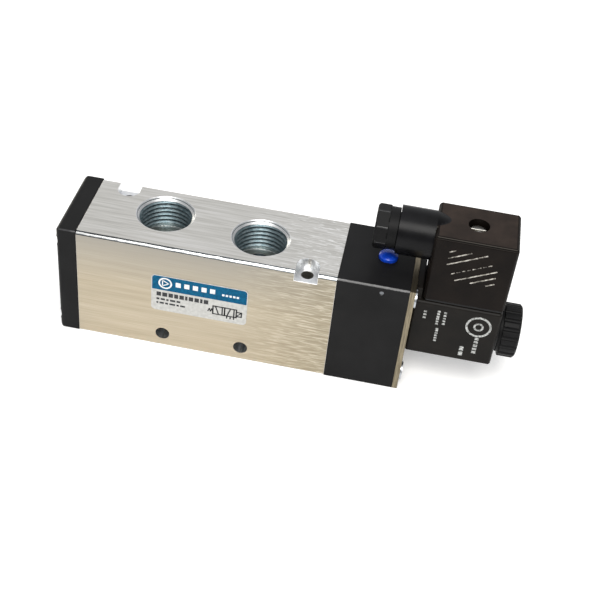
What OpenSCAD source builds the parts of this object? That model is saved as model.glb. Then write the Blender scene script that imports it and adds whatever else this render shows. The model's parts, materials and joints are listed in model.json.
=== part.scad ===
// Single-solenoid 5/2 directional valve with a pilot-operated spool.
// Frame: X runs along the spool towards the solenoid, Y across the valve, Z up.
// The origin is the centre of the pressure port's mouth, on the bottom face of the valve body.

/* [Valve body] */
// Length of the aluminium body along the spool
body_l = 95; // [94:0.5:98]
// Width of the valve across the body
body_w = 35; // [35:0.5:38]
// Height of the valve body
body_h = 47; // [46.5:0.5:48]
// Height of the spool axis above the bottom face
axis_z = 23.5; // [23.4:0.1:23.6]
// Chamfer along the top edges of the body
body_chamfer = 1.2; // [0.6:0.1:1.6]
// Chamfer along the bottom edges of the body
foot_chamfer = 0.5; // [0.2:0.1:1]

/* [Ports] */
// Radius of the ports' bore at the root of the G1/2 thread
port_r = 10.48; // [10.3:0.02:10.6]
// Widening of the port mouths by their countersink
port_mouth = 0.4; // [0.2:0.1:0.8]
// Depth of the two service ports in the top face
top_port_depth = 13.5; // [12.5:0.5:13.5]
// Depth of the pressure and exhaust ports in the bottom face
foot_port_depth = 12.5; // [11.5:0.5:12.5]
// Distance of the exhaust ports from the pressure port
exhaust_x = 29.5; // [29:0.1:30]
// Distance of service port A behind the middle, along X
port_a_x = -19.5; // [-20:0.1:-19]
// Offset of service port A from the centre line, towards the back
port_a_y = 2.4; // [0:0.1:2.8]
// Distance of service port B from the middle, along X
port_b_x = 17.1; // [16.8:0.1:18]
// Offset of service port B from the centre line, towards the front
port_b_y = -1.7; // [-2.8:0.1:0]
// Radius of the passages between the ports and the spool bore
passage_r = 3.5; // [3:0.1:3.8]

/* [Fixing holes] */
// Radius of the two holes from the front face to the back face
cross_hole_r = 2.65; // [2.2:0.05:2.7]
// Distance of each of these holes from the middle
cross_hole_x = 15; // [14.8:0.1:15.2]
// Height of these holes above the bottom face
cross_hole_z = 6; // [5:0.1:6.5]
// Radius of the two vertical fixing holes
fixing_hole_r = 2.25; // [1.8:0.05:2.3]
// Distance of the vertical fixing holes from the middle, along X
fixing_x = 36.5; // [36.2:0.1:36.8]
// Distance of the vertical fixing holes from the middle, along Y
fixing_y = 13.1; // [12.8:0.1:13.4]
// Radius of the open seat round each vertical fixing hole
seat_r = 4.2; // [3.8:0.1:4.3]
// Depth of these seats below the top face
seat_depth = 4.2; // [3:0.1:4.2]

/* [Spool] */
// Radius of the spool bore
bore_r = 8.5; // [8.4:0.05:8.6]
// Radial running clearance of the sliding pieces
running_gap = 0.05; // [0.03:0.01:0.07]
// Travel of the spool
spool_travel = 7; // [6.5:0.1:7]
// Radius of the spool between its lands
waist_r = 5.5; // [5.2:0.1:5.8]
// Distance from the pressure groove to the service grooves
service_pitch = 16.5; // [16.2:0.1:16.8]
// Width of the annular grooves in the bore
groove_w = 7; // [6.5:0.1:7]
// Radius of the annular grooves in the bore
groove_r = 9.3; // [9:0.05:9.4]
// Radius of the return spring's wire
return_wire_r = 0.55; // [0.4:0.05:0.6]

/* [End cap and pilot block] */
// Thickness of the end cap
cap_l = 7.5; // [7.5:0.5:9]
// Bevel of the end cap's outer edges
cap_bevel = 0.9; // [0.5:0.1:1.2]
// Length of the pilot block
block_l = 26; // [26:0.5:27]
// Chamfer along the pilot block's top edges
block_chamfer = 0.6; // [0.3:0.1:1]
// Radius of the pilot piston's chamber
chamber_r = 12; // [11.5:0.1:12.2]
// Depth of the pilot piston's chamber
chamber_l = 11; // [11:0.1:11.2]
// Thickness of the adaptor plate
plate_t = 2; // [1.5:0.1:2.5]

/* [Manual override] */
// Radius of the override button
button_r = 3.5; // [3.2:0.1:3.6]
// Travel of the override button
button_travel = 2; // [1.5:0.1:2]
// Height of the button above the pilot block
button_proud = 2.4; // [2.3:0.1:2.8]
// Distance of the button from the pilot block's left face
button_inset = 16.2; // [16:0.1:16.4]

/* [Solenoid] */
// Width of the coil and the connector
coil_w = 22.2; // [22:0.2:23]
// Length of the coil along the armature tube
coil_l = 32; // [31.5:0.5:32.5]
// Height of the coil's underside
coil_low_z = 13.9; // [13.6:0.1:13.9]
// Height of the coil's top face
coil_top_z = 38.6; // [38.6:0.1:39]
// Outer radius of the armature tube
tube_r = 4.6; // [4.5:0.05:4.65]
// Bore radius of the armature tube
tube_bore_r = 4.05; // [4:0.01:4.08]
// Stroke of the plunger
plunger_stroke = 1.5; // [1:0.1:1.5]
// Radius of the coil nut
coil_nut_r = 10.1; // [9.5:0.1:10.5]
// Length of the coil nut's ribbed grip
coil_nut_l = 6.3; // [6:0.1:7]

/* [Connector] */
// Height of the connector's top face
connector_top_z = 67.7; // [66.5:0.1:68]
// Length of the connector housing
connector_l = 29.2; // [29:0.1:29.4]
// Height of the cable entry's axis
entry_z = 60.2; // [60:0.1:60.4]
// Radius of the cable entry's boss
boss_r = 8.85; // [8.4:0.05:8.9]
// Width of the gland nut's octagon across its flats
gland_af = 15; // [14:0.5:15]
// Radius of the cable's way through the gland
cable_r = 4; // [3.5:0.1:4]

/* [Label] */
// Length of the label on the front face
label_l = 35.9; // [30:0.1:36]
// Height of the label
label_h = 16.6; // [12:0.1:17]

/* [Hidden] */
$fn = 96;

cut = 1;                                // how far a cutting tool runs past a face
snug = 0.02;                            // gap between pieces that are pressed or glued together
body_x0 = -body_l / 2;
body_x1 = body_l / 2;
side_y = body_w / 2;

// Bore and spool
groove_xs = [-exhaust_x, -service_pitch, 0, service_pitch, exhaust_x];
land_r = bore_r - running_gap;
spool_x0 = body_x0 + spool_travel + 0.2;
spool_x1 = body_x1 - 3;
spool_lands = [[spool_x0, -34.3], [-25, -21], [-3, 10], [28, 32], [spool_x1 - 5, spool_x1]];
spool_seal_xs = [-37, -23, -1, 8, 30, spool_x1 - 2.5];
seal_cord_r = 0.8;
seal_groove_w = 2;
seal_groove_r = land_r - 1.65;
spring_pocket_r = 4.3;
spring_pocket_l = 8;

// Passages from the ports to the bore
passage_y = 2.5;

// End cap
cap_x0 = body_x0 - cap_l;
cap_pocket_l = 4.5;
end_screw_y = 13.4;
end_screw_z = 6;
end_screw_top_z = body_h - 5.9;
screw_r = 2;
screw_bite = 6;
cap_head_r = 3.3;
cap_head_l = 3.6;
cap_counterbore_l = 4;

// Pilot block and piston
block_x0 = body_x1;
block_x1 = block_x0 + block_l;
chamber_x1 = block_x0 + chamber_l;
piston_x1 = chamber_x1 - 0.3;
piston_t = 3;
piston_stem_r = 6;
piston_groove_r = chamber_r - 1.75;
face_groove_l = 1.3;
face_seal_cord_r = face_groove_l / 2 - snug;
cap_seal_r = 10.5;
block_seal_r = 13.9;
plate_x1 = block_x1 + plate_t;
pan_head_r = 3.4;
pan_head_l = 2;
head_sink = 1.3;

// Manual override
button_x = block_x0 + button_inset;
button_top_z = body_h + button_proud;
button_head_z = body_h - 6.5;
button_stem_r = 1.5;
button_stem_z = axis_z + 3.5;
button_bore_z = axis_z + 10;
pin_r = 0.75;
pin_z = body_h - 2.9;
override_wire_r = 0.25;

// Armature
flange_r = 9;
flange_t = 2.85;
pocket_t = 3;
pocket_x = block_x1 - pocket_t;
seat_hole_r = 2.5;
seat_nose_x = block_x1 - 0.6;
orifice_r = 0.5;
pilot_way_r = 0.8;
tube_x1 = plate_x1 + 28.5;
core_x0 = plate_x1 + 17.5;
stud_r = 3;
plunger_x0 = seat_nose_x + 0.5;
plunger_x1 = core_x0 - plunger_stroke - 0.1;
plunger_r = tube_bore_r - 0.06;
plunger_pocket_l = 7;
plunger_wire_r = 0.25;

// Coil
coil_x0 = plate_x1;
coil_x1 = coil_x0 + coil_l;
coil_bevel = 0.7;
coil_wall = 1.5;
coil_rib_y = 9.5;
coil_rib_h = 4.5;
coil_rib_gap = 0.3;
cavity_y = 8.6;
cavity_z0 = axis_z - 8.4;
cavity_z1 = axis_z + 11.2;
yoke_t = 1.5;
bobbin_bore_r = 4.8;
bobbin_r = 5.4;
bobbin_flange_r = 8.2;
winding_r = 7.9;
washer_t = 0.8;
nut_collar_l = 1.1;
nut_x0 = coil_x1 + washer_t;
nut_x1 = nut_x0 + nut_collar_l + coil_nut_l;
stud_x1 = nut_x1 - 1.3;

// Blade terminals
con_x1 = coil_x1;
con_x0 = con_x1 - connector_l;
con_x = (con_x0 + con_x1) / 2;
blade_w = 6.3;
blade_t = 0.8;
blade_x = 5.5;
earth_y = 6;
blade_z1 = coil_top_z + 8.4;

// Connector
gasket_t = 0.8;
con_z0 = coil_top_z + gasket_t;
con_bevel = 0.9;
con_wall = 1.8;
con_roof = 4.2;
insert_h = 10.6;
screw_seat_z = connector_top_z - 4.4;
screw_recess_r = 3.8;
m3_r = 1.5;
gland_x0 = block_x1 - 16.3;
octagon_l = 4.8;
neck_r = 7.66;
neck_l = 3.5;
boss_x0 = gland_x0 + octagon_l + neck_l;
gland_thread_r = 6;
gland_thread_l = 5.5;
gland_pocket_l = 9;
octagon_turn = 12.5;
fairing_l = 4.8;

// Label
label_x = -1.45;
label_z = 25.93;
label_t = 0.2;

// A round bar along X between two stations
module bar_x(x0, x1, r, y = 0, z = axis_z) {
    translate([x0, y, z]) rotate([0, 90, 0]) cylinder(h = x1 - x0, r = r);
}

// A tapered round bar along X
module cone_x(x0, x1, r0, r1, z = axis_z) {
    translate([x0, 0, z]) rotate([0, 90, 0]) cylinder(h = x1 - x0, r1 = r0, r2 = r1);
}

// A tube along X
module ring_x(x0, x1, r_out, r_in, z = axis_z) {
    difference() {
        bar_x(x0, x1, r_out, 0, z);
        bar_x(x0 - cut, x1 + cut, r_in, 0, z);
    }
}

// A round bar along Z
module bar_z(x, y, z0, z1, r) {
    translate([x, y, z0]) cylinder(h = z1 - z0, r = r);
}

// An upright box between two corners
module box(a, b) {
    translate(a) cube(b - a);
}

// A sealing ring on the spool axis
module seal_x(x, r_mid, r_cord) {
    translate([x, 0, axis_z]) rotate([0, 90, 0]) rotate_extrude() translate([r_mid, 0]) circle(r = r_cord);
}

// A box with all its edges and corners bevelled
module soft_box(a, b, bevel) {
    hull() {
        box(a + [0, bevel, bevel], b - [0, bevel, bevel]);
        box(a + [bevel, 0, bevel], b - [bevel, 0, bevel]);
        box(a + [bevel, bevel, 0], b - [bevel, bevel, 0]);
    }
}

// The wedge cut from an edge that runs along X
module edge_cut_x(x0, x1, y, z, size) {
    translate([(x0 + x1) / 2, y, z]) rotate([45, 0, 0])
        cube([x1 - x0 + 2 * cut, size * sqrt(2), size * sqrt(2)], center = true);
}

// A socket-head screw along X, with its head's seat at x and its tip towards -X
module screw_x(x, y, z, shank_l, head_r, head_l, socket_r) {
    difference() {
        union() {
            bar_x(x - shank_l, x + 0.1, screw_r, y, z);
            bar_x(x, x + head_l, head_r, y, z);
        }
        translate([x + head_l - 1.6, y, z]) rotate([0, 90, 0]) cylinder(h = 1.6 + cut, r = socket_r, $fn = 6);
    }
}

// A coil spring that stands along Z, with closed ends
function spring_rise(turn, turns, pitch, dead) =
    turn < 1 ? turn * dead
    : turn > turns - 1 ? dead + (turns - 2) * pitch + (turn - turns + 1) * dead
    : dead + (turn - 1) * pitch;
module spring(r_mid, wire_r, turns, length, steps = 20, sides = 8) {
    dead = wire_r * 2.15;
    pitch = (length - 2 * wire_r - 2 * dead) / (turns - 2);
    rings = turns * steps;
    points = [for (i = [0:rings], j = [0:sides - 1])
        let (a = 360 * i / steps, b = 360 * j / sides,
            rise = wire_r + spring_rise(i / steps, turns, pitch, dead),
            r = r_mid + wire_r * cos(b))
        [r * cos(a), r * sin(a), rise - wire_r * sin(b)]];
    walls = [for (i = [0:rings - 1], j = [0:sides - 1])
        let (k = (j + 1) % sides)
        [i * sides + j, (i + 1) * sides + j, (i + 1) * sides + k, i * sides + k]];
    start = [for (j = [0:sides - 1]) j];
    finish = [for (j = [sides - 1:-1:0]) rings * sides + j];
    polyhedron(points, concat(walls, [start, finish]));
}

// Aluminium body with its ports, spool bore and fixing holes
module valve_body() {
    color("silver") difference() {
        box([body_x0, -side_y, 0], [body_x1, side_y, body_h]);
        for (s = [-1, 1]) {
            edge_cut_x(body_x0, body_x1, s * side_y, body_h, body_chamfer);
            edge_cut_x(body_x0, body_x1, s * side_y, 0, foot_chamfer);
        }
        bar_x(body_x0 - cut, body_x1 + cut, bore_r);
        for (x = groove_xs) bar_x(x - groove_w / 2, x + groove_w / 2, groove_r);
        for (p = [[port_a_x, port_a_y], [port_b_x, port_b_y]]) translate([p.x, p.y, 0]) {
            translate([0, 0, body_h - top_port_depth]) cylinder(h = top_port_depth + cut, r = port_r);
            translate([0, 0, body_h - port_mouth])
                cylinder(h = port_mouth + cut, r1 = port_r, r2 = port_r + port_mouth + cut);
        }
        for (x = [-service_pitch, service_pitch])
            bar_z(x, passage_y, axis_z, body_h - top_port_depth + cut, passage_r);
        for (x = [-exhaust_x, 0, exhaust_x]) {
            bar_z(x, 0, -cut, foot_port_depth, port_r);
            bar_z(x, 0, foot_port_depth - cut, axis_z, passage_r);
        }
        for (x = [-cross_hole_x, cross_hole_x])
            translate([x, side_y + cut, cross_hole_z]) rotate([90, 0, 0])
                cylinder(h = body_w + 2 * cut, r = cross_hole_r);
        for (s = [-1, 1]) {
            bar_z(s * fixing_x, -s * fixing_y, -cut, body_h + cut, fixing_hole_r);
            bar_z(s * fixing_x, -s * fixing_y, body_h - seat_depth, body_h + cut, seat_r);
            seat_half = seat_r - 0.05;
            box([s * fixing_x - seat_half, min(-s * fixing_y, -s * (side_y + cut)), body_h - seat_depth],
                [s * fixing_x + seat_half, max(-s * fixing_y, -s * (side_y + cut)), body_h + cut]);
        }
        for (y = [-end_screw_y, end_screw_y], z = [end_screw_z, end_screw_top_z]) {
            bar_x(body_x0 - cut, body_x0 + screw_bite + 0.2, screw_r + snug, y, z);
            bar_x(body_x1 - screw_bite - 0.2, body_x1 + cut, screw_r + snug, y, z);
        }
    }
}

// Moulded cap on the left end, with the return spring's seat
module end_cap() {
    color("dimgray") difference() {
        hull() {
            box([cap_x0 + cap_bevel, -side_y, 0], [body_x0, side_y, body_h]);
            box([cap_x0, cap_bevel - side_y, cap_bevel], [body_x0, side_y - cap_bevel, body_h - cap_bevel]);
        }
        bar_x(body_x0 - cap_pocket_l, body_x0 + cut, spring_pocket_r + 0.3);
        ring_x(body_x0 - face_groove_l, body_x0 + cut, cap_seal_r + 1, cap_seal_r - 1);
        for (y = [-end_screw_y, end_screw_y], z = [end_screw_z, end_screw_top_z]) {
            bar_x(cap_x0 - cut, body_x0 + cut, screw_r + 0.25, y, z);
            bar_x(cap_x0 - cut, cap_x0 + cap_counterbore_l, cap_head_r + 0.15, y, z);
        }
    }
}

// Face seal between the cap and the body
module end_cap_seal() {
    color("black") seal_x(body_x0 - face_groove_l / 2, cap_seal_r, face_seal_cord_r);
}

// Socket-head screws that hold the cap
module end_cap_screws() {
    seat_x = cap_x0 + cap_counterbore_l;
    color("gray") for (y = [-end_screw_y, end_screw_y], z = [end_screw_z, end_screw_top_z])
        translate([seat_x, 0, 0]) mirror([1, 0, 0])
            screw_x(0, y, z, cap_l - cap_counterbore_l + screw_bite, cap_head_r, cap_head_l, 1.7);
}

// Spool with its lands, seal grooves and spring pocket
module spool() {
    color("lightgray") difference() {
        union() {
            bar_x(spool_x0 + 0.5, spool_x1 - 0.5, waist_r);
            for (land = spool_lands) bar_x(land[0], land[1], land_r);
        }
        for (x = spool_seal_xs)
            ring_x(x - seal_groove_w / 2, x + seal_groove_w / 2, bore_r + cut, seal_groove_r);
        bar_x(spool_x0 - cut, spool_x0 + spring_pocket_l, spring_pocket_r);
    }
}

// Sealing rings on the spool
module spool_seals() {
    color("black") for (x = spool_seal_xs) seal_x(x, land_r - seal_cord_r, seal_cord_r);
}

// Return spring between the spool and the cap
module return_spring() {
    length = spool_x0 + spring_pocket_l - body_x0 + cap_pocket_l - 0.1;
    color("gray") translate([body_x0 - cap_pocket_l + 0.05, 0, axis_z]) rotate([0, 90, 0])
        spring(3.4, return_wire_r, 7, length);
}

// Pilot piston that pushes the spool
module pilot_piston() {
    groove_x = piston_x1 - piston_t / 2;
    color("ivory") difference() {
        union() {
            bar_x(piston_x1 - piston_t, piston_x1, chamber_r - running_gap);
            bar_x(spool_x1 + 0.1, piston_x1 - 0.5, piston_stem_r);
        }
        ring_x(groove_x - 0.9, groove_x + 0.9, chamber_r + cut, piston_groove_r);
        bar_x(piston_x1 - 1, piston_x1 + cut, 3);
    }
}

// Sealing ring on the pilot piston
module piston_seal() {
    color("black") seal_x(piston_x1 - piston_t / 2, chamber_r - running_gap - seal_cord_r, seal_cord_r);
}

// Moulded pilot block with the piston chamber, the override bore and the armature pocket
module pilot_block() {
    color("dimgray") difference() {
        box([block_x0, -side_y, 0], [block_x1, side_y, body_h]);
        for (s = [-1, 1]) edge_cut_x(block_x0, block_x1, s * side_y, body_h, block_chamfer);
        bar_x(block_x0 - cut, chamber_x1, chamber_r);
        ring_x(block_x0 - cut, block_x0 + face_groove_l, block_seal_r + 1, block_seal_r - 1);
        bar_x(chamber_x1 - cut, pocket_x, pilot_way_r);
        bar_x(pocket_x - 4.3, pocket_x + cut, seat_hole_r + snug);
        bar_x(pocket_x, block_x1 + cut, flange_r + 0.1);
        ring_x(pocket_x - 1.2, pocket_x + cut, 6.8, 5);
        bar_z(button_x, 0, button_bore_z, body_h + cut, button_r + running_gap);
        bar_z(button_x, 0, axis_z, button_bore_z + cut, button_stem_r + running_gap);
        translate([button_x, 5.2, pin_z]) rotate([90, 0, 0]) cylinder(h = side_y + 5.2 + cut, r = pin_r + 0.03);
        for (y = [-end_screw_y, end_screw_y], z = [end_screw_z, end_screw_top_z])
            bar_x(block_x0 - cut, block_x1 + cut, screw_r + 0.25, y, z);
    }
}

// Face seal between the pilot block and the body
module pilot_block_seal() {
    color("black") seal_x(block_x0 + face_groove_l / 2, block_seal_r, face_seal_cord_r);
}

// Long screws through the plate and the pilot block into the body
module pilot_screws() {
    color("gray") for (y = [-end_screw_y, end_screw_y], z = [end_screw_z, end_screw_top_z])
        screw_x(plate_x1 - head_sink, y, z, plate_t - head_sink + block_l + screw_bite, pan_head_r, pan_head_l, 1.7);
}

// Blue push button of the manual override
module override_button() {
    dome_h = 1.4;
    dome_r = (button_r * button_r + dome_h * dome_h) / (2 * dome_h);
    slot_low = pin_z - pin_r - 0.05;
    slot_high = pin_z + pin_r + button_travel + 0.05;
    color("royalblue") difference() {
        union() {
            bar_z(button_x, 0, button_head_z, button_top_z - dome_h, button_r);
            intersection() {
                bar_z(button_x, 0, button_top_z - dome_h - 0.1, button_top_z + cut, button_r);
                translate([button_x, 0, button_top_z - dome_r]) sphere(r = dome_r);
            }
            bar_z(button_x, 0, button_stem_z, button_head_z + 0.5, button_stem_r);
        }
        translate([button_x, 0, button_head_z + 0.5]) difference() {
            cylinder(h = 1.3, r = button_r + cut);
            translate([0, 0, -cut]) cylinder(h = 1.3 + 2 * cut, r = button_r - 1.1);
        }
        box([button_x - pin_r - 0.1, -button_r - cut, slot_low], [button_x + pin_r + 0.1, button_r + cut, slot_high]);
    }
}

// Sealing ring on the override button
module override_seal() {
    color("black") translate([button_x, 0, button_head_z + 1.15])
        rotate_extrude() translate([button_r - 0.53, 0]) circle(r = 0.5);
}

// Spring under the override button
module override_spring() {
    color("gray") translate([button_x, 0, button_bore_z + 0.05])
        spring(2.5, override_wire_r, 5, button_head_z - button_bore_z - 0.1, 16, 6);
}

// Cross pin that keeps the override button in its bore
module override_pin() {
    color("gray") translate([button_x, 5, pin_z]) rotate([90, 0, 0]) cylinder(h = side_y + 4.8, r = pin_r);
}

// Brass seat that the plunger closes
module orifice_seat() {
    color("gold") difference() {
        union() {
            bar_x(pocket_x - 4.2, pocket_x, seat_hole_r);
            cone_x(pocket_x - 0.1, seat_nose_x, 2.2, 1.2);
        }
        bar_x(pocket_x - 5, seat_nose_x + cut, orifice_r);
    }
}

// Metal plate that clamps the armature tube to the pilot block
module adaptor_plate() {
    color("tan") difference() {
        box([block_x1, -side_y, 0], [plate_x1, side_y, body_h]);
        bar_x(block_x1 - cut, plate_x1 + cut, tube_r + 0.1);
        for (y = [-end_screw_y, end_screw_y], z = [end_screw_z, end_screw_top_z]) {
            bar_x(block_x1 - cut, plate_x1 + cut, screw_r + 0.25, y, z);
            bar_x(plate_x1 - head_sink, plate_x1 + cut, pan_head_r + 0.1, y, z);
        }
    }
}

// Stainless guide tube of the plunger, with its clamped flange
module armature_tube() {
    flange_x0 = pocket_x + 0.12;
    color("silver") difference() {
        union() {
            bar_x(flange_x0, flange_x0 + flange_t, flange_r);
            bar_x(flange_x0 + 1, tube_x1, tube_r);
        }
        bar_x(flange_x0 - cut, tube_x1 + cut, tube_bore_r);
    }
}

// Sealing ring under the armature tube's flange
module tube_seal() {
    color("black") seal_x(pocket_x - 0.55, 5.9, 0.6);
}

// Fixed core in the tube's end, with the stud for the coil nut
module fixed_core() {
    color("lightgray") union() {
        bar_x(core_x0, tube_x1, tube_bore_r - snug);
        bar_x(tube_x1 - 0.5, stud_x1, stud_r);
    }
}

// Magnetic plunger
module plunger() {
    color("lightgray") difference() {
        bar_x(plunger_x0, plunger_x1, plunger_r);
        bar_x(plunger_x0 - cut, plunger_x0 + 1.6, 2.2 + snug);
        bar_x(plunger_x1 - plunger_pocket_l, plunger_x1 + cut, 2.3);
    }
}

// Rubber disc in the plunger's nose
module plunger_seal() {
    color("black") bar_x(seat_nose_x + 0.05, plunger_x0 + 1.58, 2.2);
}

// Spring between the plunger and the fixed core
module plunger_spring() {
    x0 = plunger_x1 - plunger_pocket_l + 0.05;
    color("gray") translate([x0, 0, axis_z]) rotate([0, 90, 0])
        spring(1.8, plunger_wire_r, 7, core_x0 - x0 - 0.05, 16, 6);
}

// Black moulded coil housing
module coil_housing() {
    y = coil_w / 2;
    color("dimgray") difference() {
        union() {
            soft_box([coil_x0, -y, coil_low_z], [coil_x1, y, coil_top_z], coil_bevel);
            box([coil_x0, -coil_rib_y, coil_top_z - 1], [con_x0 - coil_rib_gap, coil_rib_y, coil_top_z + coil_rib_h]);
        }
        box([coil_x0 + coil_wall, -cavity_y, cavity_z0], [coil_x1 - coil_wall, cavity_y, cavity_z1]);
        bar_x(coil_x0 - cut, coil_x1 + cut, bobbin_bore_r);
        bar_z(con_x, 0, cavity_z1 + 0.5, coil_top_z + cut, m3_r + running_gap);
        for (s = [-1, 1]) blade(con_x + s * blade_x, 0, blade_t, blade_w, snug);
        blade(con_x, earth_y, blade_w, blade_t, snug);
    }
}

// One flat terminal, widened by grow on every side to cut its slot
module blade(x, y, size_x, size_y, grow = 0) {
    box([x - size_x / 2 - grow, y - size_y / 2 - grow, cavity_z1 - 1.2],
        [x + size_x / 2 + grow, y + size_y / 2 + grow, blade_z1]);
}

// Winding former
module coil_bobbin() {
    x0 = coil_x0 + coil_wall + yoke_t + 0.1;
    x1 = coil_x1 - coil_wall - yoke_t - 0.1;
    color("ivory") difference() {
        union() {
            bar_x(x0, x1, bobbin_r);
            bar_x(x0, x0 + 1, bobbin_flange_r);
            bar_x(x1 - 1, x1, bobbin_flange_r);
        }
        bar_x(x0 - cut, x1 + cut, bobbin_bore_r);
    }
}

// Copper winding
module coil_winding() {
    x0 = coil_x0 + coil_wall + yoke_t + 1.15;
    x1 = coil_x1 - coil_wall - yoke_t - 1.15;
    color("orange") ring_x(x0, x1, winding_r, bobbin_r + snug);
}

// Steel bracket that closes the magnetic circuit round the winding
module coil_yoke() {
    x0 = coil_x0 + coil_wall + snug;
    x1 = coil_x1 - coil_wall - snug;
    y = cavity_y - snug;
    z0 = cavity_z0 + snug;
    z1 = cavity_z1 - 1.25;
    color("gray") difference() {
        box([x0, -y, z0], [x1, y, z1]);
        box([x0 + yoke_t, -side_y, z0 - cut], [x1 - yoke_t, side_y, z1 - yoke_t]);
        bar_x(x0 - cut, x1 + cut, bobbin_bore_r);
    }
}

// Two flat supply blades and the earth blade
module coil_terminals() {
    color("silver") {
        for (s = [-1, 1]) blade(con_x + s * blade_x, 0, blade_t, blade_w);
        blade(con_x, earth_y, blade_w, blade_t);
    }
}

// Rubber washer between the coil and its nut
module coil_washer() {
    color("black") ring_x(coil_x1, coil_x1 + washer_t, 8.3, stud_r + 0.4);
}

// Ribbed plastic nut that holds the coil on the tube
module coil_nut() {
    grip_x0 = nut_x0 + nut_collar_l;
    flutes = 18;
    color("dimgray") difference() {
        union() {
            bar_x(nut_x0, grip_x0 + 0.5, 8.7);
            bar_x(grip_x0, nut_x1 - 0.8, coil_nut_r);
            cone_x(nut_x1 - 0.8, nut_x1, coil_nut_r, coil_nut_r - 0.8);
        }
        bar_x(nut_x0 - cut, stud_x1 + 0.2, stud_r + running_gap);
        for (i = [0:flutes - 1]) rotate_about_axis(360 * (i + 0.5) / flutes)
            bar_x(grip_x0 - 0.01, nut_x1 + cut, 0.85, 0, axis_z + coil_nut_r + 0.1);
    }
}

// Turns its children about the spool axis
module rotate_about_axis(angle) {
    translate([0, 0, axis_z]) rotate([angle, 0, 0]) translate([0, 0, -axis_z]) children();
}

// Flat gasket under the connector
module connector_gasket() {
    y = coil_w / 2 - 1;
    color("black") difference() {
        box([con_x0 + 1, -y, coil_top_z], [con_x1 - 1, y, con_z0]);
        bar_z(con_x, 0, coil_top_z - cut, con_z0 + cut, m3_r + 0.3);
        for (s = [-1, 1]) blade(con_x + s * blade_x, 0, blade_t, blade_w, 0.4);
        blade(con_x, earth_y, blade_w, blade_t, 0.4);
    }
}

// Connector housing with its cable entry and screw well
module connector_housing() {
    y = coil_w / 2;
    color("dimgray") difference() {
        union() {
            difference() {
                soft_box([con_x0, -y, con_z0], [con_x1, y, connector_top_z], con_bevel);
                box([con_x0 + con_wall, -y + con_wall, con_z0 - cut],
                    [con_x1 - con_wall, y - con_wall, connector_top_z - con_roof]);
            }
            bar_x(boss_x0, con_x0 + 0.1, boss_r, 0, entry_z);
            difference() {
                cone_x(con_x0, con_x0 + fairing_l, boss_r, connector_top_z - entry_z, entry_z);
                box([con_x0 + con_wall, -side_y, entry_z - boss_r - cut],
                    [con_x0 + fairing_l + cut, side_y, connector_top_z - con_roof]);
            }
            bar_z(con_x, 0, con_z0 + insert_h + 2, connector_top_z - con_roof + 0.5, 4.8);
        }
        bar_x(boss_x0 - cut, boss_x0 + gland_pocket_l, gland_thread_r + running_gap, 0, entry_z);
        bar_x(boss_x0 + gland_pocket_l - cut, con_x0 + con_wall + 0.1, cable_r, 0, entry_z);
        bar_z(con_x, 0, screw_seat_z, connector_top_z + cut, screw_recess_r);
        bar_z(con_x, 0, con_z0, screw_seat_z + cut, m3_r + 0.2);
    }
}

// Terminal carrier inside the connector
module terminal_insert() {
    y = coil_w / 2 - con_wall - 0.1;
    color("gray") difference() {
        box([con_x0 + con_wall + 0.1, -y, con_z0 + 0.05], [con_x1 - con_wall - 0.1, y, con_z0 + insert_h]);
        bar_z(con_x, 0, con_z0 - cut, con_z0 + insert_h + cut, m3_r + 0.2);
        for (s = [-1, 1]) clamp_body(con_x + s * blade_x, 0, 4, 8, snug);
        clamp_body(con_x, earth_y, 7.2, 3.2, snug);
    }
}

// Outer block of one terminal clamp
module clamp_body(x, y, size_x, size_y, grow = 0) {
    box([x - size_x / 2 - grow, y - size_y / 2 - grow, con_z0 + (grow > 0 ? -cut : 0.05)],
        [x + size_x / 2 + grow, y + size_y / 2 + grow, con_z0 + insert_h + (grow > 0 ? cut : 0)]);
}

// Brass clamps that take the coil's blades
module terminal_clamps() {
    gap = 0.1;
    color("gold") {
        for (s = [-1, 1]) difference() {
            clamp_body(con_x + s * blade_x, 0, 4, 8);
            blade(con_x + s * blade_x, 0, blade_t, blade_w, gap);
            bar_z(con_x + s * blade_x, 0, con_z0 + insert_h - 2.4, con_z0 + insert_h + cut, 1.3);
        }
        difference() {
            clamp_body(con_x, earth_y, 7.2, 3.2);
            blade(con_x, earth_y, blade_w, blade_t, gap);
            bar_z(con_x, earth_y, con_z0 + insert_h - 2.4, con_z0 + insert_h + cut, 1.3);
        }
    }
}

// Wire screws of the terminal clamps
module terminal_screws() {
    z = con_z0 + insert_h;
    color("silver") for (p = [[con_x - blade_x, 0], [con_x + blade_x, 0], [con_x, earth_y]]) difference() {
        union() {
            bar_z(p.x, p.y, z - 2.3, z + 0.2, 1.27);
            bar_z(p.x, p.y, z + 0.1, z + 1.6, p.y > 0 ? 1.6 : 2.4);
        }
        box([p.x - 0.3, p.y - 3, z + 1], [p.x + 0.3, p.y + 3, z + 2]);
    }
}

// Captive screw that holds the connector on the coil
module connector_screw() {
    color("silver") difference() {
        union() {
            bar_z(con_x, 0, coil_top_z - 3.2, screw_seat_z + 0.2, m3_r);
            bar_z(con_x, 0, screw_seat_z + 0.05, screw_seat_z + 2.3, 2.9);
        }
        box([con_x - 4, -0.4, screw_seat_z + 1.2], [con_x + 4, 0.4, screw_seat_z + 3]);
    }
}

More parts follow.
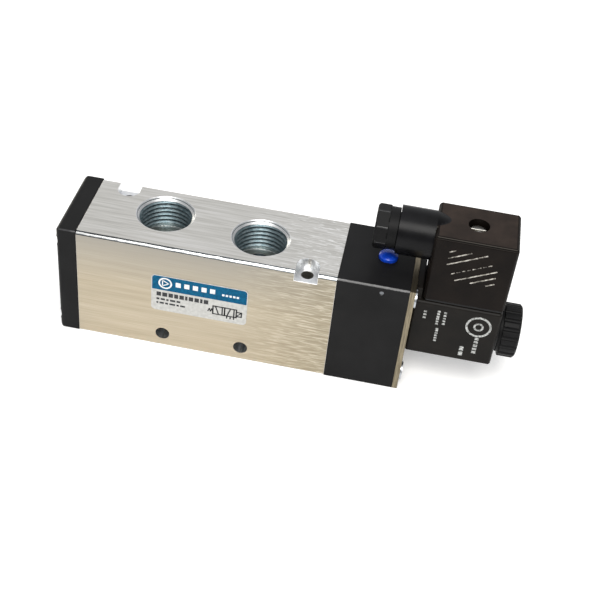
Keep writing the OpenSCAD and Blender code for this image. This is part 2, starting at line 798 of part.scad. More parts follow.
// Octagonal compression nut of the cable gland
module gland_nut() {
    corner_r = gland_af / 2 / cos(22.5);
    color("dimgray") difference() {
        union() {
            intersection() {
                translate([gland_x0, 0, entry_z]) rotate([0, 90, 0]) rotate([0, 0, octagon_turn])
                    cylinder(h = octagon_l, r = corner_r, $fn = 8);
                union() {
                    cone_x(gland_x0, gland_x0 + 0.8, corner_r - 0.8, corner_r, entry_z);
                    bar_x(gland_x0 + 0.7, gland_x0 + octagon_l, corner_r + 0.01, 0, entry_z);
                }
            }
            bar_x(gland_x0 + octagon_l - 0.2, boss_x0 - 0.1, neck_r, 0, entry_z);
            bar_x(boss_x0 - 0.5, boss_x0 + gland_thread_l, gland_thread_r, 0, entry_z);
        }
        bar_x(gland_x0 - cut, boss_x0 + gland_thread_l + cut, cable_r, 0, entry_z);
    }
}

// Slip washer between the gland nut and its grommet
module gland_washer() {
    x0 = boss_x0 + gland_thread_l + 0.15;
    color("silver") ring_x(x0, x0 + 0.8, gland_thread_r - 0.05, cable_r, entry_z);
}

// Rubber grommet that grips the cable
module gland_grommet() {
    x0 = boss_x0 + gland_thread_l + 1;
    color("black") ring_x(x0, boss_x0 + gland_pocket_l - 0.05, gland_thread_r - 0.05, cable_r, entry_z);
}

// Printed foil label on the front face
module nameplate() {
    corner = 1.6;
    color("steelblue") translate([label_x, -side_y, label_z]) rotate([90, 0, 0]) hull() {
        for (x = [corner - label_l / 2, label_l / 2 - corner], z = [corner - label_h / 2, label_h / 2 - corner])
            translate([x, z, 0]) cylinder(h = label_t, r = corner, $fn = 32);
    }
}

valve_body();
end_cap();
end_cap_seal();
end_cap_screws();
spool();
spool_seals();
return_spring();
pilot_piston();
piston_seal();
pilot_block();
pilot_block_seal();
pilot_screws();
override_button();
override_seal();
override_spring();
override_pin();
orifice_seat();
adaptor_plate();
armature_tube();
tube_seal();
fixed_core();
plunger();
plunger_seal();
plunger_spring();
coil_housing();
coil_bobbin();
coil_winding();
coil_yoke();
coil_terminals();
coil_washer();
coil_nut();
connector_gasket();
connector_housing();
terminal_insert();
terminal_clamps();
terminal_screws();
connector_screw();
gland_nut();
gland_washer();
gland_grommet();
nameplate();
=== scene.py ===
import bmesh
import bpy
import json
import math
from mathutils import Matrix, Vector


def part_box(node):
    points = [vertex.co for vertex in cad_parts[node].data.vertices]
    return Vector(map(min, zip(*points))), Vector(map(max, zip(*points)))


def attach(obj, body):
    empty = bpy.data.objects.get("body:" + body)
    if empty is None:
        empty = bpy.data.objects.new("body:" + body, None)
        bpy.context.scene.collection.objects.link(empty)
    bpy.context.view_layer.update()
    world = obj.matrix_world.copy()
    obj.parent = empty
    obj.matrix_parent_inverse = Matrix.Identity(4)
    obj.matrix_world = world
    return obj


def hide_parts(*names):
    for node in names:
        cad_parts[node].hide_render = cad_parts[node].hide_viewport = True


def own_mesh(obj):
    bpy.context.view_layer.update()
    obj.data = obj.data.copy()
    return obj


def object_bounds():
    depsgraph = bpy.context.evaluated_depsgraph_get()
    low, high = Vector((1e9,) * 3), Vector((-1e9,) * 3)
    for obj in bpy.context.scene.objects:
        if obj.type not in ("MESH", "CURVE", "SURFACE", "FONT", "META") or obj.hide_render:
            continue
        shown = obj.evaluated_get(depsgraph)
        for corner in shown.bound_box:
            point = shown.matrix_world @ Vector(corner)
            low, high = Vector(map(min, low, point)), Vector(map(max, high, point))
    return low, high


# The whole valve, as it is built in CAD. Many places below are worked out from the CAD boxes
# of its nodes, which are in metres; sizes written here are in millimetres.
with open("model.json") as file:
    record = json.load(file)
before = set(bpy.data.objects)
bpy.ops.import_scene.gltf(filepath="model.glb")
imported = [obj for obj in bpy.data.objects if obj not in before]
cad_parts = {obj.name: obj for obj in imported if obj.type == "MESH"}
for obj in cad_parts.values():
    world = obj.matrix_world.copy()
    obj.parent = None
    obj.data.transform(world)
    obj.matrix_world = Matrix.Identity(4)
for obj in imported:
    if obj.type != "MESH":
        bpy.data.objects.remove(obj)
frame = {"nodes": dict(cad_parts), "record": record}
cad_low, cad_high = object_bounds()
MM = 0.001


# ---------------------------------------------------------------------------------------------
# The set: a pale lit table top, a pale room, soft lamps, and a camera on the right of the valve's
# middle and 40 degrees above it. The camera leans a little, so the valve runs down to the right.
# ---------------------------------------------------------------------------------------------
def linear(hex_colour):
    """Turns an sRGB hex colour into the linear RGBA that shaders take."""
    channels = [int(hex_colour[i:i + 2], 16) / 255 for i in (0, 2, 4)]
    return [c / 12.92 if c <= 0.04045 else ((c + 0.055) / 1.055) ** 2.4 for c in channels] + [1.0]


def add(tree, kind, inputs=(), stops=(), **settings):
    """Adds a shader node with its settings, colour stops and inputs, which are set or linked."""
    made = tree.nodes.new("ShaderNode" + kind)
    for name, value in settings.items():
        setattr(made, name, value)
    for socket, value in dict(inputs).items():
        if isinstance(value, bpy.types.NodeSocket):
            tree.links.new(value, made.inputs[socket])
        else:
            made.inputs[socket].default_value = value
    for k, (position, colour) in enumerate(stops):
        if k == len(made.color_ramp.elements):
            made.color_ramp.elements.new(position)
        made.color_ramp.elements[k].position = position
        made.color_ramp.elements[k].color = linear(colour)
    return made


def start_material(name, colour, roughness, metallic=0.0, **sockets):
    """Makes a material with one principled shader and gives back the material, its tree and shader."""
    material = bpy.data.materials.new(name)
    material.use_nodes = True
    shader = material.node_tree.nodes["Principled BSDF"]
    shader.inputs["Base Color"].default_value = linear(colour)
    shader.inputs["Roughness"].default_value = roughness
    shader.inputs["Metallic"].default_value = metallic
    for socket, value in sockets.items():
        shader.inputs[socket.replace("_", " ")].default_value = value
    return material, material.node_tree, shader


def stretched(tree, x_mm, y_mm, z_mm):
    """Object coordinates divided by a grain size in millimetres along each axis."""
    place = add(tree, "TexCoord").outputs["Object"]
    sizes = (1 / (x_mm * MM), 1 / (y_mm * MM), 1 / (z_mm * MM))
    return add(tree, "VectorMath", {0: place, 1: sizes}, operation="MULTIPLY").outputs[0]


def marks(tree, x_mm, y_mm, z_mm, detail=3.0, **inputs):
    """The marks that cover a surface, of a size in millimetres along each axis."""
    return add(tree, "TexNoise", {"Vector": stretched(tree, x_mm, y_mm, z_mm), "Scale": 1.0, "Detail": detail,
                                  **inputs}).outputs["Fac"]


def finish(tree, shader, pattern, colours=(), roughness=(), depth_mm=0.0, strength=1.0):
    """Lets a pattern set a finish: its (position, hex colour) stops, its roughness and its depth."""
    if colours:
        tint = add(tree, "ValToRGB", {"Fac": pattern}, colours)
        tree.links.new(tint.outputs["Color"], shader.inputs["Base Color"])
    if roughness:
        sheen = add(tree, "MapRange", {"Value": pattern, "To Min": roughness[0], "To Max": roughness[1]})
        tree.links.new(sheen.outputs["Result"], shader.inputs["Roughness"])
    if depth_mm:
        relief = add(tree, "Bump", {"Height": pattern, "Distance": depth_mm * MM, "Strength": strength})
        tree.links.new(relief.outputs["Normal"], shader.inputs["Normal"])


# Opal acrylic table top, sanded matt and lit weakly from below, so that shadows stay faint.
TABLE_HALF = 3.0
opal_acrylic, tree, shader = start_material("lit_opal_acrylic", "fafafa", 0.9, Emission_Strength=0.28,
                                           Emission_Color=linear("ffffff"))
grain = marks(tree, 40, 40, 40, 2.0)
finish(tree, shader, grain, [(0.3, "f8f8f8"), (0.7, "fcfcfc")])
table_mesh = bpy.data.meshes.new("table_top")
table_mesh.from_pydata([(-TABLE_HALF, -TABLE_HALF, 0), (TABLE_HALF, -TABLE_HALF, 0),
                        (TABLE_HALF, TABLE_HALF, 0), (-TABLE_HALF, TABLE_HALF, 0)], [], [(0, 1, 2, 3)])
table_top = bpy.data.objects.new("table_top", table_mesh)
table_top.location.z = cad_low.z
table_mesh.materials.append(opal_acrylic)
bpy.context.scene.collection.objects.link(table_top)

room = bpy.data.worlds.new("pale_room")
room.use_nodes = True
room.node_tree.nodes["Background"].inputs["Color"].default_value = linear("f3f4f5")
room.node_tree.nodes["Background"].inputs["Strength"].default_value = 0.42
bpy.context.scene.world = room
bpy.context.scene.view_settings.view_transform = "Standard"


def soft_lamp(name, place_mm, aim_mm, size_mm, watts, colour):
    """A square soft box that looks at a point."""
    light = bpy.data.lights.new(name, "AREA")
    light.shape = "SQUARE"
    light.size = size_mm * MM
    light.energy = watts
    light.color = linear(colour)[:3]
    lamp = bpy.data.objects.new(name, light)
    lamp.location = Vector(place_mm) * MM
    lamp.rotation_euler = (Vector(aim_mm) - Vector(place_mm)).to_track_quat("-Z", "Y").to_euler()
    bpy.context.scene.collection.objects.link(lamp)
    return lamp


VALVE_MIDDLE = (30, 0, 30)
soft_lamp("key_box", (100, -540, 840), VALVE_MIDDLE, 520, 7.5, "fffdf9")
soft_lamp("overhead_box", (-60, 60, 1000), VALVE_MIDDLE, 700, 1.4, "ffffff")
soft_lamp("back_box", (0, 1000, 880), VALVE_MIDDLE, 1300, 2.5, "fafbff")
soft_lamp("left_box", (-520, 620, 140), VALVE_MIDDLE, 260, 0.9, "fff9ea")

# The camera's place, from the point that the middle of its view falls on.
CAMERA_AIM = (33.7, 0.0, 19.5)
CAMERA_DISTANCE = 436.0
CAMERA_AZIMUTH = 5.42
CAMERA_ELEVATION = 40.29
CAMERA_LEAN = 6.8
CAMERA_LENS = 69.1
azimuth, elevation = math.radians(CAMERA_AZIMUTH), math.radians(CAMERA_ELEVATION)
away = Vector((math.sin(azimuth) * math.cos(elevation), -math.cos(azimuth) * math.cos(elevation),
               math.sin(elevation)))
lens = bpy.data.cameras.new("camera")
lens.lens = CAMERA_LENS
lens.sensor_width = 36.0
lens.clip_start = 0.01
camera = bpy.data.objects.new("camera", lens)
camera.matrix_world = (
    Matrix.Translation((Vector(CAMERA_AIM) + away * CAMERA_DISTANCE) * MM)
    @ (-away).to_track_quat("-Z", "Y").to_matrix().to_4x4()
    @ Matrix.Rotation(math.radians(CAMERA_LEAN), 4, "Z"))
bpy.context.scene.collection.objects.link(camera)
bpy.context.scene.camera = camera


# ---------------------------------------------------------------------------------------------
# Valve body: a bar of extruded aluminium, ground along its length, then drilled, tapped and
# clear anodised. Chatter marks grow towards the pilot block. The chamfers, the two seats for
# the fixing screws and the ports were cut last and are brighter; the chamfers' bright band is a
# painted highlight.
# ---------------------------------------------------------------------------------------------
WELD = 0.002 * MM


def copy_of_node(node):
    """A clean, welded copy of a CAD node's mesh, with its flat faces whole."""
    form = bmesh.new()
    form.from_mesh(frame["nodes"][node].data)
    bmesh.ops.remove_doubles(form, verts=form.verts, dist=WELD)
    bmesh.ops.dissolve_limit(form, angle_limit=math.radians(0.3), verts=form.verts, edges=form.edges)
    return form


def round_edges(form, width_mm, segments=3, chosen=lambda edge: True):
    """Rounds the sharp edges of a form, or those of them that are chosen."""
    sharp = [edge for edge in form.edges
             if len(edge.link_faces) == 2 and edge.calc_face_angle() > math.radians(28) and chosen(edge)]
    bmesh.ops.bevel(form, geom=sharp, offset=width_mm * MM, offset_type="OFFSET", segments=segments,
                    profile=0.5, affect="EDGES", clamp_overlap=False)


def make_piece(name, form, body, materials, replaced=None):
    """Turns a form into a smooth-shaded piece that rides on a body."""
    for face in form.faces:
        face.smooth = True
    for edge in form.edges:
        edge.smooth = len(edge.link_faces) != 2 or edge.calc_face_angle() < math.radians(40)
    mesh = bpy.data.meshes.new(name)
    form.to_mesh(mesh)
    form.free()
    for material in materials:
        mesh.materials.append(material)
    piece = bpy.data.objects.new(name, mesh)
    bpy.context.scene.collection.objects.link(piece)
    normals = piece.modifiers.new("flat_faces_stay_flat", "WEIGHTED_NORMAL")
    normals.keep_sharp = True
    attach(piece, body)
    if replaced:
        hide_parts(replaced)
    return piece


mounts = {mount["name"]: mount for mount in frame["record"]["mounts"]}
PORTS = ("port_a", "port_b", "port_p", "port_r", "port_s")

ground_aluminium, tree, shader = start_material("ground_anodised_aluminium", "d9d6d1", 0.34, 1.0)
# Grinding lines along X. Real ones are 0.05 mm wide; they are drawn 0.3 mm wide so that they show.
fine_lines = marks(tree, 14, 0.3, 0.3, 4.0)
long_lines = marks(tree, 26, 1.1, 1.1, 4.0)
both_lines = add(tree, "Math", {0: fine_lines, 1: long_lines}, operation="ADD")
half_lines = add(tree, "Math", {0: both_lines.outputs[0], 1: 0.5}, operation="MULTIPLY").outputs[0]
line_colour = add(tree, "ValToRGB", {"Fac": half_lines},
                  [(0.36, "c2c0ba"), (0.5, "d3d1cb"), (0.64, "e2e0dc")]).outputs["Color"]
# Chatter: short bright waves across the grinding lines, only near the pilot block.
chatter = marks(tree, 5.0, 0.7, 0.7, 2.0, Distortion=0.9)
along = add(tree, "SeparateXYZ", {0: add(tree, "TexCoord").outputs["Object"]}).outputs["X"]
CHATTER_FROM, CHATTER_FULL = 8 * MM, 44 * MM
near_block = add(tree, "MapRange", {"Value": along, "From Min": CHATTER_FROM, "From Max": CHATTER_FULL})
waves = add(tree, "MapRange", {"Value": chatter, "From Min": 0.52, "From Max": 0.66})
chatter_here = add(tree, "Math", {0: waves.outputs["Result"], 1: near_block.outputs["Result"]},
                   operation="MULTIPLY").outputs[0]
colour = add(tree, "Mix", {"Factor": chatter_here, 6: line_colour, 7: linear("f6f5f2")}, data_type="RGBA")
tree.links.new(colour.outputs[2], shader.inputs["Base Color"])
finish(tree, shader, half_lines, roughness=(0.46, 0.24))
height = add(tree, "Math", {0: half_lines, 1: chatter_here}, operation="ADD").outputs[0]
finish(tree, shader, height, depth_mm=0.05, strength=0.5)

# The sides keep the drawn skin; its marks run along the bar. Their warm champagne tone is painted
# warm light, for the light that falls on the faces turned along Y.
drawn_aluminium, tree, shader = start_material("drawn_aluminium_painted_warm_light", "b7ac98", 0.36, 1.0)
fine_lines = marks(tree, 18, 0.35, 0.35, 4.0)
long_lines = marks(tree, 90, 2.2, 2.2)
both_lines = add(tree, "Math", {0: fine_lines, 1: long_lines}, operation="ADD")
half_lines = add(tree, "Math", {0: both_lines.outputs[0], 1: 0.5}, operation="MULTIPLY").outputs[0]
line_colour = add(tree, "ValToRGB", {"Fac": half_lines},
                  [(0.36, "aea38f"), (0.5, "b7ac98"), (0.64, "c1b7a4")]).outputs["Color"]
chatter = marks(tree, 6.5, 0.55, 0.55, 2.0, Distortion=0.7)
place = add(tree, "SeparateXYZ", {0: add(tree, "TexCoord").outputs["Object"]})
near_block = add(tree, "MapRange", {"Value": place.outputs["X"], "From Min": CHATTER_FROM,
                                    "From Max": CHATTER_FULL, "To Max": 0.7})
waves = add(tree, "MapRange", {"Value": chatter, "From Min": 0.52, "From Max": 0.62})
chatter_here = add(tree, "Math", {0: waves.outputs["Result"], 1: near_block.outputs["Result"]},
                   operation="MULTIPLY").outputs[0]
wave_colour = add(tree, "ValToRGB", {"Fac": chatter},
                  [(0.36, "8c836f"), (0.52, "a39a86"), (0.64, "cdc5b4")]).outputs["Color"]
# The painted warm light fades towards the top, so the skin is greyer and darker there.
painted_warmth_fade_up = add(tree, "MapRange", {"Value": place.outputs["Z"], "From Min": 26 * MM, "From Max": 47 * MM})
skin = add(tree, "Mix", {"Factor": painted_warmth_fade_up.outputs["Result"], 6: line_colour, 7: linear("9c9890")},
           data_type="RGBA").outputs[2]
colour = add(tree, "Mix", {"Factor": near_block.outputs["Result"], 6: skin, 7: wave_colour}, data_type="RGBA")
tree.links.new(colour.outputs[2], shader.inputs["Base Color"])
finish(tree, shader, half_lines, roughness=(0.4, 0.3))
height = add(tree, "Math", {0: half_lines, 1: chatter_here}, operation="ADD").outputs[0]
finish(tree, shader, height, depth_mm=0.05, strength=0.5)

# The tapped walls are as cut, and their crests carry the marks of the tap. Their dark blue-grey
# colour is painted shade, for the shade inside the ports.
tapped_aluminium, tree, shader = start_material("tapped_aluminium_thread_painted_shade", "75868b", 0.42, 1.0)
tap_marks = marks(tree, 1.2, 1.2, 0.5)
finish(tree, shader, tap_marks, [(0.3, "5c6f76"), (0.7, "8d9ba0")], roughness=(0.36, 0.5))

cut_aluminium, tree, shader = start_material("fresh_cut_aluminium", "eceef0", 0.34, 1.0)
tool_rings = marks(tree, 2.5, 2.5, 0.25)
finish(tree, shader, tool_rings, [(0.3, "dadde0"), (0.7, "fafafa")], roughness=(0.28, 0.44), depth_mm=0.04,
       strength=0.5)

# The top chamfers: one pass of a cutter. Their colour is painted light: a painted highlight in the
# middle, a dark line of painted shade where the cut meets the ground top and a duller one at its foot.
CHAMFER = 1.2
body_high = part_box("valve_body")[1]
chamfer_painted_light, tree, shader = start_material("milled_aluminium_chamfer_painted_light", "f2f4f5", 0.3, 1.0)
level = add(tree, "SeparateXYZ", {0: add(tree, "TexCoord").outputs["Object"]}).outputs["Z"]
raised = add(tree, "MapRange", {"Value": level, "From Min": body_high[2] - CHAMFER * MM,
                                "From Max": body_high[2]})
ragged = marks(tree, 3.5, 0.9, 0.9, 4.0)
shifted = add(tree, "MapRange", {"Value": ragged, "From Min": 0.3, "From Max": 0.7,
                                 "To Min": -0.06, "To Max": 0.06})
level = add(tree, "Math", {0: raised.outputs["Result"], 1: shifted.outputs["Result"]},
            operation="ADD").outputs[0]
finish(tree, shader, level,
       [(0.1, "3a3d40"), (0.26, "6d7073"), (0.36, "d6d8d9"), (0.62, "d6d8d9"), (0.7, "1d1f22"),
        (0.86, "34373a")])
finish(tree, shader, ragged, roughness=(0.2, 0.42))

EDGE_BREAK = 0.12
form = copy_of_node("valve_body")
round_edges(form, EDGE_BREAK, 2)
seat_places = [Vector((36.5, -13.1)) * MM, Vector((-36.5, 13.1)) * MM]
SEAT_REACH = 4.45 * MM
SEAT_FLOOR = body_high[2] - 4.3 * MM
for face in form.faces:
    middle, normal = face.calc_center_median(), face.normal
    on_chamfer = 0.55 < abs(normal.z) < 0.85 and abs(normal.y) > 0.5
    in_port = any((middle.xy - Vector(mounts[port]["pos_m"]).xy).length
                  < (mounts[port]["dims"]["r_mm"] + 0.5) * MM and abs(normal.z) < 0.999
                  for port in PORTS)
    in_seat = middle.z > SEAT_FLOOR and any(
        abs(middle.x - seat.x) < SEAT_REACH and (middle.y - seat.y) * seat.y > -SEAT_REACH * abs(seat.y)
        and middle.z < body_high[2] - 0.05 * MM and abs(normal.y) < 0.99
        for seat in seat_places)
    on_side = abs(normal.y) > 0.9 and abs(abs(middle.y) - body_high[1]) < 0.3 * MM
    face.material_index = (1 if in_seat or in_port and abs(normal.z) > 0.3 else 2 if in_port else 3 if on_side
                           else 4 if on_chamfer and normal.z > 0 else 1 if on_chamfer else 0)
make_piece("body_block", form, "valve",
           [ground_aluminium, cut_aluminium, tapped_aluminium, drawn_aluminium, chamfer_painted_light], "valve_body")

# The G1/2 thread: 14 turns to the inch, 1.16 mm deep, with a rounded crest. One helical ridge
# runs round each port, from just inside its mouth to near its floor. A cone leads into it.
THREAD_PITCH = 1.814
THREAD_DEPTH = 1.16
THREAD_STEPS = 72
THREAD_RUNOUT = 0.2
LEAD_IN_W, LEAD_IN_H = 0.75, 0.9
thread_flank = [(-0.05, -0.88), (THREAD_DEPTH * 0.93, -0.19), (THREAD_DEPTH, 0.0),
                (THREAD_DEPTH * 0.93, 0.19), (-0.05, 0.88)]
for port in PORTS:
    mouth, inward = Vector(mounts[port]["pos_m"]), -Vector(mounts[port]["axis"])
    wall = mounts[port]["dims"]["r_mm"]
    turns = (mounts[port]["dims"]["length_mm"] - 2.6) / THREAD_PITCH
    form = bmesh.new()
    rings = []
    for step in range(int(turns * THREAD_STEPS) + 1):
        turn = step / THREAD_STEPS
        grown = min(1.0, (turn + 0.01) / THREAD_RUNOUT, (turns - turn + 0.02) / THREAD_RUNOUT)
        out = Vector((math.cos(2 * math.pi * turn), math.sin(2 * math.pi * turn), 0))
        rings.append([form.verts.new(
            mouth + out * (wall - max(rise, 0) * grown - min(rise, 0)) * MM
            + inward * (1.15 + turn * THREAD_PITCH + shift * (0.3 + 0.7 * grown)) * MM)
            for rise, shift in thread_flank])
    for lower, upper in zip(rings, rings[1:]):
        for k in range(len(thread_flank)):
            after = (k + 1) % len(thread_flank)
            form.faces.new((lower[k], lower[after], upper[after], upper[k]))
    form.faces.new(rings[0])
    form.faces.new(list(reversed(rings[-1])))
    rings = []
    cone = ((wall + 0.02, 0.3), (wall - LEAD_IN_W, LEAD_IN_H), (wall + 0.02, LEAD_IN_H))
    for step in range(THREAD_STEPS):
        angle = 2 * math.pi * step / THREAD_STEPS
        out = Vector((math.cos(angle), math.sin(angle), 0))
        rings.append([form.verts.new(mouth + out * radius * MM + inward * depth * MM)
                      for radius, depth in cone])
    for first, second in zip(rings, rings[1:] + rings[:1]):
        for k in range(3):
            after = (k + 1) % 3
            form.faces.new((first[k], first[after], second[after], second[k])).material_index = 1
    bmesh.ops.recalc_face_normals(form, faces=form.faces)
    make_piece(port + "_thread", form, "valve", [tapped_aluminium, cut_aluminium])


# ---------------------------------------------------------------------------------------------
# Label: a polyester foil glued to the front face, printed silver-white with a blue heading.
# The heading has a pressure-source sign and rows of plain bars; under it are more plain bars
# and the standard sign of a five-port, two-position valve, all about 0.02 mm thick.
# ---------------------------------------------------------------------------------------------
def stroke(points, width):
    """Polygons that draw a line of a width through (x, z) points, in millimetres."""
    polygons = []
    for (x0, z0), (x1, z1) in zip(points, points[1:]):
        long = math.hypot(x1 - x0, z1 - z0)
        dx, dz = (x1 - x0) / long * width / 2, (z1 - z0) / long * width / 2
        polygons.append([(x0 - dx - dz, z0 - dz + dx), (x0 - dx + dz, z0 - dz - dx),
                         (x1 + dx + dz, z1 + dz - dx), (x1 + dx - dz, z1 + dz + dx)])
    return polygons


def dashes(x, z, height, lengths, gap):
    """A row of plain bars, of the given lengths, from x to the right."""
    polygons = []
    for length in lengths:
        polygons.append([(x, z - height / 2), (x + length, z - height / 2),
                         (x + length, z + height / 2), (x, z + height / 2)])
        x += length + gap
    return polygons


def hoop(x, z, radius, width, sides=40):
    """Polygons that draw a circle's outline."""
    turn = [2 * math.pi * k / sides for k in range(sides + 1)]
    inner, outer = radius - width / 2, radius + width / 2
    return [[(x + reach * math.cos(angle), z + reach * math.sin(angle))
             for reach, angle in ((inner, a), (outer, a), (outer, b), (inner, b))]
            for a, b in zip(turn, turn[1:])]


def rounded_outline(x0, z0, x1, z1, radii, steps=6):
    """A rectangle's outline with a radius at each corner, from the lower left one anticlockwise."""
    corners = [(x0, z0, 180), (x1, z0, 270), (x1, z1, 0), (x0, z1, 90)]
    outline = []
    for (x, z, start), radius in zip(corners, radii):
        cx = x + radius if x == x0 else x - radius
        cz = z + radius if z == z0 else z - radius
        for k in range(steps + 1 if radius else 1):
            angle = math.radians(start + 90 * k / steps)
            outline.append((cx + radius * math.cos(angle), cz + radius * math.sin(angle)))
    return outline


def print_on_front(name, polygons, face_y, thick_mm, body, material):
    """Thin solid shapes on a face that looks along -Y; polygons hold (x, z) in millimetres."""
    form = bmesh.new()
    for polygon in polygons:
        front = [form.verts.new((x * MM, face_y - thick_mm * MM, z * MM)) for x, z in polygon]
        back = [form.verts.new((x * MM, face_y + 0.01 * MM, z * MM)) for x, z in polygon]
        form.faces.new(front)
        form.faces.new(list(reversed(back)))
        for k in range(len(front)):
            after = (k + 1) % len(front)
            form.faces.new((front[after], front[k], back[k], back[after]))
    bmesh.ops.recalc_face_normals(form, faces=form.faces)
    return make_piece(name, form, body, [material])


silver_foil, tree, shader = start_material("silver_white_polyester_foil", "d3d3d0", 0.35, 0.15)
speckle = marks(tree, 1.2, 1.2, 1.2)
finish(tree, shader, speckle, [(0.3, "b4b4b1"), (0.7, "c9c9c6")])
blue_ink, tree, shader = start_material("blue_printing_ink", "02557a", 0.4, Specular_IOR_Level=0.1)
speckle = marks(tree, 0.9, 0.9, 0.9, 2.0)
finish(tree, shader, speckle, [(0.3, "014c6e"), (0.7, "045f87")])
white_ink, tree, shader = start_material("white_printing_ink", "eef0f1", 0.4)
speckle = marks(tree, 0.7, 0.7, 0.7, 2.0)
finish(tree, shader, speckle, [(0.25, "d5d8da"), (0.6, "f3f4f5")])
black_ink, tree, shader = start_material("black_printing_ink", "15171b", 0.4)
speckle = marks(tree, 0.7, 0.7, 0.7, 2.0)
finish(tree, shader, speckle, [(0.3, "0f1114"), (0.7, "23262b")])

form = copy_of_node("nameplate")
make_piece("label_foil", form, "valve", [silver_foil], "nameplate")
foil_low, foil_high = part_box("nameplate")
# Its own edges in millimetres, and the heading's height, corner and pale rim.
left, right = foil_low[0] / MM, foil_high[0] / MM
low, high = foil_low[2] / MM, foil_high[2] / MM
foil_front = foil_low[1]
HEADING_H = 6.75
FOIL_CORNER = 1.6
RIM = 0.3
INK = 0.02
heading_low = high - HEADING_H
print_on_front("label_heading", [rounded_outline(left + RIM, heading_low, right - RIM, high - RIM,
                                                  (0, 0, FOIL_CORNER - RIM, FOIL_CORNER - RIM))],
               foil_front, INK, "valve", blue_ink)
sign_x, sign_z, SIGN_R = left + 5.2, heading_low + HEADING_H / 2, 2.25
bars = hoop(sign_x, sign_z, SIGN_R, 0.6)
bars += stroke([(sign_x - 1.0, sign_z - 1.3), (sign_x - 1.0, sign_z + 1.3), (sign_x + 1.3, sign_z),
                (sign_x - 1.0, sign_z - 1.3)], 0.4)
bars += dashes(sign_x + 3.9, sign_z + 0.2, 2.1, [1.9] * 5, 1.3)
bars += dashes(sign_x + 21.2, sign_z - 0.6, 0.9, [0.9] * 5, 0.45)
print_on_front("label_heading_signs", bars, foil_front - INK * MM, INK, "valve", white_ink)

# Rows of bars on the left and the valve's sign on the right.
rules = dashes(left + 2.0, heading_low - 2.0, 1.9, [1.7, 1.9, 1.7, 1.5, 1.7, 0.9, 1.7, 1.7, 0.9, 1.7], 0.45)
rules += dashes(left + 2.0, heading_low - 4.4, 0.9, [1.1, 1.6, 0.9, 2.0, 1.4], 0.5)
rules += dashes(left + 2.0, heading_low - 6.2, 0.8, [0.7, 1.6, 1.1, 2.2, 0.9, 1.8], 0.5)
BOX_W, BOX_H, SIGN_LINE = 4.4, 3.7, 0.52
box_x, box_z = right - 12.6, low + 3.0
for k in (0, 1):
    x = box_x + k * BOX_W
    rules += stroke([(x, box_z), (x, box_z + BOX_H), (x + BOX_W, box_z + BOX_H), (x + BOX_W, box_z),
                     (x, box_z)], SIGN_LINE)
    way = (0.9, 2.2) if k else (2.2, 0.9)
    rules += stroke([(x + way[0], box_z), (x + way[1], box_z + BOX_H)], SIGN_LINE)
    rules += stroke([(x + 3.5, box_z), (x + 3.5, box_z + BOX_H)], SIGN_LINE)
spring_sign = [(box_x - 1.8 + 0.45 * k, box_z + 1.0 + (1.1 if k % 2 else 0)) for k in range(5)]
rules += stroke(spring_sign, 0.45)
coil_x = box_x + 2 * BOX_W
rules += stroke([(coil_x, box_z + 0.6), (coil_x + 1.9, box_z + 0.6), (coil_x + 1.9, box_z + 2.6),
                 (coil_x, box_z + 2.6)], SIGN_LINE)
rules += stroke([(coil_x, box_z + 0.6), (coil_x + 1.9, box_z + 2.6)], 0.4)
for k in range(3):
    foot = box_x + BOX_W + 0.9 + 1.3 * k
    rules += stroke([(foot, box_z - 1.0), (foot, box_z - 0.2)], 0.5)
print_on_front("label_ruling_and_sign", rules, foil_front, INK, "valve", black_ink)


# ---------------------------------------------------------------------------------------------
# End cap: glass-filled nylon, moulded black with a fine spark-eroded grain. It closes the spool
# bore on the left, seats the return spring and is held by four zinc-plated socket screws.
# ---------------------------------------------------------------------------------------------
black_nylon, tree, shader = start_material("glass_filled_nylon_moulded_black", "131314", 0.5,
                                           Specular_IOR_Level=0.14)
grain = marks(tree, 0.45, 0.45, 0.45)
flow = marks(tree, 14, 14, 14, 2.0)
finish(tree, shader, flow, [(0.35, "0f0f10"), (0.65, "171718")], roughness=(0.42, 0.58))
finish(tree, shader, grain, depth_mm=0.03, strength=0.5)

# The moulded top edges get a dull grey painted highlight, where light catches their bevels.
painted_highlight_nylon, tree, shader = start_material("nylon_edge_painted_highlight_grey", "4c4c4e", 0.34)
highlight_streaks = marks(tree, 2.2, 0.8, 0.8, 4.0)
finish(tree, shader, highlight_streaks, [(0.34, "262628"), (0.52, "39393b"), (0.68, "58585a")])


def paint_edge_highlights(form, index):
    """Gives the bevels along a moulding's top edges the material at an index, a painted highlight."""
    for face in form.faces:
        if 0.2 < face.normal.z < 0.97 and 0.2 < abs(face.normal.y) < 0.97 and abs(face.normal.x) < 0.5:
            face.material_index = index


zinc_steel, tree, shader = start_material("zinc_plated_steel", "b9bcc2", 0.28, 1.0)
plating = marks(tree, 1.1, 1.1, 1.1)
finish(tree, shader, plating, [(0.3, "a4a8af"), (0.7, "cdd0d4")], roughness=(0.2, 0.4))

SCREW_EDGE = 0.25
form = copy_of_node("end_cap")
round_edges(form, 0.4)
# Its top bevels take the painted highlight.
paint_edge_highlights(form, 1)
make_piece("end_cap_moulding", form, "valve", [black_nylon, painted_highlight_nylon], "end_cap")
form = copy_of_node("end_cap_screws")
round_edges(form, SCREW_EDGE, 2, lambda edge: edge.verts[0].co.x < cad_low.x + 2 * MM)
make_piece("end_cap_socket_screws", form, "valve", [zinc_steel], "end_cap_screws")


# ---------------------------------------------------------------------------------------------
# Inside the body: a turned and hard-anodised spool on nitrile rings, pushed back by a spring of
# drawn wire. None of it shows from outside, except the spool through the ports' passages.
# ---------------------------------------------------------------------------------------------
def dress(material, *nodes):
    """Gives CAD nodes that stay as they are a material."""
    for node in nodes:
        for slot in frame["nodes"][node].material_slots:
            slot.material = material


